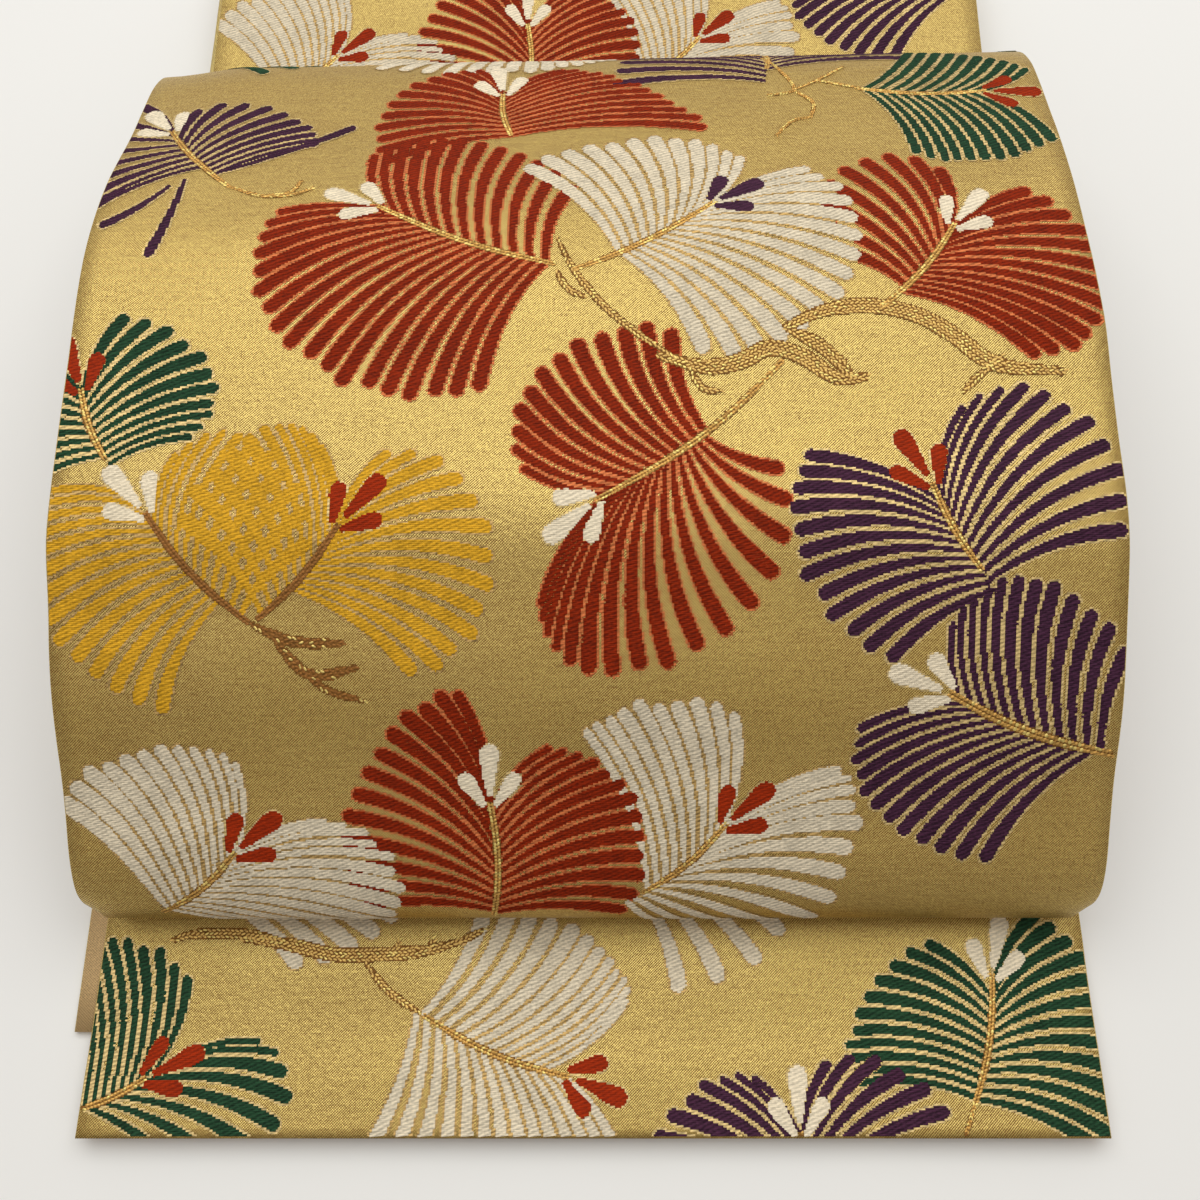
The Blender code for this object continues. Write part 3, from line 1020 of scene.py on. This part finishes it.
def sew_lines(loom):
    """Every stem and branch that falls on this stretch."""
    lines = [(sew_branch, points, strands, shade) for shade, strands, points in BRANCHES]
    lines += [(sew_stem, points, width) for width, points in STEMS]
    for fan in FANS:
        points = [stem_point(fan, part / 6) for part in range(7)]
        width = THICK_STEMS.get(fan[2], STEM_WIDTH)
        lines.append((sew_stem, points, width, fan[0] == "yellow"))
    for along in rounds(loom.stretch):
        for sew, points, *given in lines:
            placed = moved(points, along)
            if within(placed, loom.stretch):
                sew(loom, placed, *given)


def rides(piece):
    """Fixes a piece to the only body."""
    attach(piece, "root")


def figures(name, stretch, seed):
    """Weaves the design on one stretch and returns its pieces."""
    scene = bpy.context.scene
    loom = Loom(stretch, scene.obi_sizes, seed)
    sew_lines(loom)
    weave_fans(loom)
    finishes = thread_finishes(scene.obi_colours)
    made = []
    for colour, threads in sorted(loom.threads.items()):
        piece = threads.built(f"{name}_{colour}", finishes[colour])
        if piece:
            rides(piece)
            made.append(piece)
    return made


def thread_finishes(colours):
    """Every thread's material by name, made once."""
    made = {}
    for name, (colour, share, *looks) in FINISHES.items():
        title = "thread_" + name
        tone = [channel * share for channel in getattr(colours, colour)]
        made[name] = bpy.data.materials.get(title) or silk(title, tone, *looks)
    return made


def cloth_finishes(scene):
    """The face, the reverse and the edge of the strip, made once."""
    found = [bpy.data.materials.get(name) for name in ("gold_face", "plain_back", "selvedge")]
    if all(found):
        return found
    colours = scene.obi_colours
    twill = scene.obi_sizes.twill
    return [
        gold_ground("gold_face", colours.gold_bright, colours.gold_shade, twill),
        plain_reverse("plain_back", colours.reverse),
        selvedge("selvedge", colours.gold_bright),
    ]


class OBI_OT_stage(bpy.types.Operator):
    """Makes the pale floor, the soft lights and the camera"""

    bl_idname = "obi.stage"
    bl_label = "Stage"

    def execute(self, context):
        scene = context.scene
        scene.view_settings.view_transform = "Standard"
        paint = solid_colour(scene.obi_colours.floor)
        floor = new_material("pale_floor", Roughness=0.9, Base_Color=paint)[0]
        mesh = bpy.data.meshes.new("floor")
        reach, level = 6.0, -0.0004
        corners = [(-reach, -reach), (reach, -reach), (reach, reach), (-reach, reach)]
        mesh.from_pydata([(x, y, level) for x, y in corners], [], [(0, 1, 2, 3)])
        mesh.materials.append(floor)
        ground = bpy.data.objects.new("floor", mesh)
        scene.collection.objects.link(ground)
        scene.world = self.studio()
        self.softbox(scene, "key", (0.0, 0.50, 1.33), 2.2, 1.3, scene.obi_sizes.key_light)
        camera = bpy.data.cameras.new("camera")
        camera.lens = 36.0
        camera.sensor_width = 36.0
        camera.clip_start = 0.01
        seen = bpy.data.objects.new("camera", camera)
        ahead, height, tilt = 26.6, 0.3981, 20.0
        seen.location = (ORIGIN_X * MM, (ahead + ORIGIN_Y) * MM, height)
        seen.rotation_euler = (math.radians(tilt), 0.0, 0.0)
        scene.collection.objects.link(seen)
        scene.camera = seen
        return {"FINISHED"}

    def studio(self):
        """A pale room whose light comes from behind and above, and is dim low in front.

        The camera itself sees an even backdrop.
        """
        backdrop = 0.84
        world = bpy.data.worlds.new("studio")
        world.use_nodes = True
        wire = Wire(world.node_tree)
        facing = wire.node("ShaderNodeTexCoord")
        y = wire.node("ShaderNodeSeparateXYZ", {}, {0: facing}, 1)
        z = wire.node("ShaderNodeSeparateXYZ", {}, {0: facing}, 2)
        low = (0.0 - y).between(0.0, 0.45) * (1.0 - z.between(0.34, 0.46))
        high = (0.0 - y).between(0.15, 0.5) * z.between(0.38, 0.5)
        back = y.between(0.2, 0.6) * z.between(0.02, 0.3)
        strength = 0.38 - low * 0.29 + high * 0.36 + back * 0.46
        seen = wire.node("ShaderNodeLightPath")
        strength = strength + seen * (backdrop - strength)
        background = world.node_tree.nodes["Background"]
        background.inputs[0].default_value = (1.0, 0.94, 0.86, 1.0)
        world.node_tree.links.new(strength.socket, background.inputs[1])
        return world

    def softbox(self, scene, name, place, wide, deep, power):
        """A rectangular soft light that faces the object's middle."""
        aim = Vector((0.0, 0.0, 0.05))
        light = bpy.data.lights.new(name, "AREA")
        light.shape = "RECTANGLE"
        light.size = wide
        light.size_y = deep
        light.energy = power
        light.color = (0.98, 1.0, 0.96)
        made = bpy.data.objects.new(name, light)
        made.location = place
        made.rotation_euler = (aim - Vector(place)).to_track_quat("-Z", "Y").to_euler()
        scene.collection.objects.link(made)


class OBI_OT_drum(bpy.types.Operator):
    """Makes the drum's cloth and its woven figures"""

    bl_idname = "obi.drum"
    bl_label = "Drum"

    def execute(self, context):
        cloth = shell("drum_cloth", DRUM, cloth_finishes(context.scene))
        rides(cloth)
        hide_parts("drum")
        woven = figures("drum", DRUM, 11)
        return {"FINISHED"}


class OBI_OT_tare(bpy.types.Operator):
    """Makes the tail end, the inner fold and the tail's woven figures"""

    bl_idname = "obi.tare"
    bl_label = "Tare and inner fold"

    def execute(self, context):
        finishes = cloth_finishes(context.scene)
        cloth = shell("tare_cloth", TARE, finishes, 40)
        rides(cloth)
        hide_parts("tare")
        woven = figures("tare", TARE, 23)
        inner = shell("inner_cloth", RETURN, finishes, 24)
        rides(inner)
        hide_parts("inner_return")
        return {"FINISHED"}


class OBI_OT_band(bpy.types.Operator):
    """Makes the far stretch and its woven figures"""

    bl_idname = "obi.band"
    bl_label = "Far band"

    def execute(self, context):
        cloth = shell("band_cloth", BAND, cloth_finishes(context.scene), 40)
        rides(cloth)
        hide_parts("far_band")
        woven = figures("band", BAND, 37)
        return {"FINISHED"}


class OBI_OT_layers(bpy.types.Operator):
    """Makes the hidden folded layers and the te end under them"""

    bl_idname = "obi.layers"
    bl_label = "Hidden layers and te end"

    def execute(self, context):
        finishes = cloth_finishes(context.scene)
        stack = self.stack(finishes)
        rides(stack)
        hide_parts("folded_stack")
        flat_path = [(28.0, 0.8), (90.0, 0.8), (200.0, 0.8), (330.0, 0.8), (454.0, 0.8)]
        lying = Stretch(flat_path, -8.5, 0.0)
        te = shell("te_cloth", lying, [finishes[1], finishes[0], finishes[2]], 24)
        rides(te)
        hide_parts("te_end")
        return {"FINISHED"}

    def stack(self, finishes):
        """Eight layers in one mesh. Each bulges at its edge and a groove parts them."""
        layers = 8
        low = CLOTH + 0.3
        profile = [(0.0, 1.0), (0.12, 0.45), (0.3, 0.08), (0.5, 0.0), (0.7, 0.08), (0.88, 0.45)]
        rings = []
        for layer in range(layers):
            turn = layer % 2
            near = 88.5 + 4.6 * layer + 0.5 * math.sin(layer * 2.1)
            far = 456.0 - (0.0 if turn else 1.6) - 0.6 * math.sin(layer * 1.7)
            lean = -3.0 + 2.0 * math.sin(layer * 1.3)
            for part, inset in profile:
                rings.append(((layer + part) / layers, near, far, lean, inset))
        rings.append((1.0, near, far, lean, 1.0))
        verts = []
        flat = []
        count = 0
        for level, near, far, lean, inset in rings:
            plan = self.plan(near + inset, far - inset, lean, HALF - inset)
            count = len(plan)
            for x, y in plan:
                rise = 15.0 + 2.4 * float(ease((y - 380.0) / 60.0))
                sag = 0.12 * math.sin(x / 31.0 + level * 20.0) * math.sin(level * math.pi)
                z = low + (rise - low) * level + sag
                verts.append(((x + ORIGIN_X) * MM, (y + ORIGIN_Y) * MM, z * MM))
                flat.append((x + level * 37.0, y + level * 91.0))
        faces = []
        slots = []
        for ring in range(len(rings) - 1):
            for index in range(count):
                a = ring * count + index
                b = ring * count + (index + 1) % count
                faces.append((a, b, b + count, a + count))
                y = verts[a][1] / MM - ORIGIN_Y
                at_fold = y > 452.0 or y < 125.0
                slots.append((ring // len(profile)) % 2 if at_fold else 2)
        faces.append(tuple(reversed(range(count))))
        slots.append(1)
        top = (len(rings) - 1) * count
        for index in range(count // 2 - 1):
            right = top + index
            left = top + count - 1 - index
            faces.append((right, right + 1, left - 1, left))
            slots.append(1)
        return new_object("stack_layers", verts, faces, flat, finishes, slots)

    def plan(self, near, far, lean, half):
        """One ring in plan, anticlockwise from the near right corner."""
        cuts = [near + (far - near) * part for part in (0.25, 0.5, 0.75, 0.84, 0.92)]
        points = []
        bend = 2.0
        corners = [
            (lean + half - bend, near + bend, -90.0),
            (lean + half - bend, far - bend, 0.0),
            (lean - half + bend, far - bend, 90.0),
            (lean - half + bend, near + bend, 180.0),
        ]
        for index, (x, y, start) in enumerate(corners):
            for step in range(4):
                angle = math.radians(start + 30.0 * step)
                points.append((x + bend * math.cos(angle), y + bend * math.sin(angle)))
            if index == 0:
                points += [(lean + half, cut) for cut in cuts]
            if index == 2:
                points += [(lean - half, cut) for cut in reversed(cuts)]
        return points


class OBI_PT_panel(bpy.types.Panel):
    """Lists the steps that build the obi"""

    bl_label = "Obi Sash"
    bl_idname = "OBI_PT_panel"
    bl_space_type = "VIEW_3D"
    bl_region_type = "UI"
    bl_category = "Obi"

    def draw(self, context):
        layout = self.layout
        for step in STEPS:
            layout.operator(step.bl_idname)
        for group in (context.scene.obi_sizes, context.scene.obi_colours):
            for name in group.bl_rna.properties.keys():
                if name not in ("rna_type", "name"):
                    layout.prop(group, name)


STEPS = (OBI_OT_stage, OBI_OT_layers, OBI_OT_tare, OBI_OT_band, OBI_OT_drum)
CLASSES = (ObiSizes, ObiColours, *STEPS, OBI_PT_panel)


def register():
    """Registers the classes and the scene's properties."""
    for item in CLASSES:
        bpy.utils.register_class(item)
    bpy.types.Scene.obi_sizes = bpy.props.PointerProperty(type=ObiSizes)
    bpy.types.Scene.obi_colours = bpy.props.PointerProperty(type=ObiColours)


def unregister():
    """Takes the properties and classes away again."""
    del bpy.types.Scene.obi_colours
    del bpy.types.Scene.obi_sizes
    for item in reversed(CLASSES):
        bpy.utils.unregister_class(item)


def main():
    """Builds everything in order."""
    register()
    bpy.ops.obi.stage()
    bpy.ops.obi.layers()
    bpy.ops.obi.tare()
    bpy.ops.obi.band()
    bpy.ops.obi.drum()


if __name__ == "__main__":
    main()
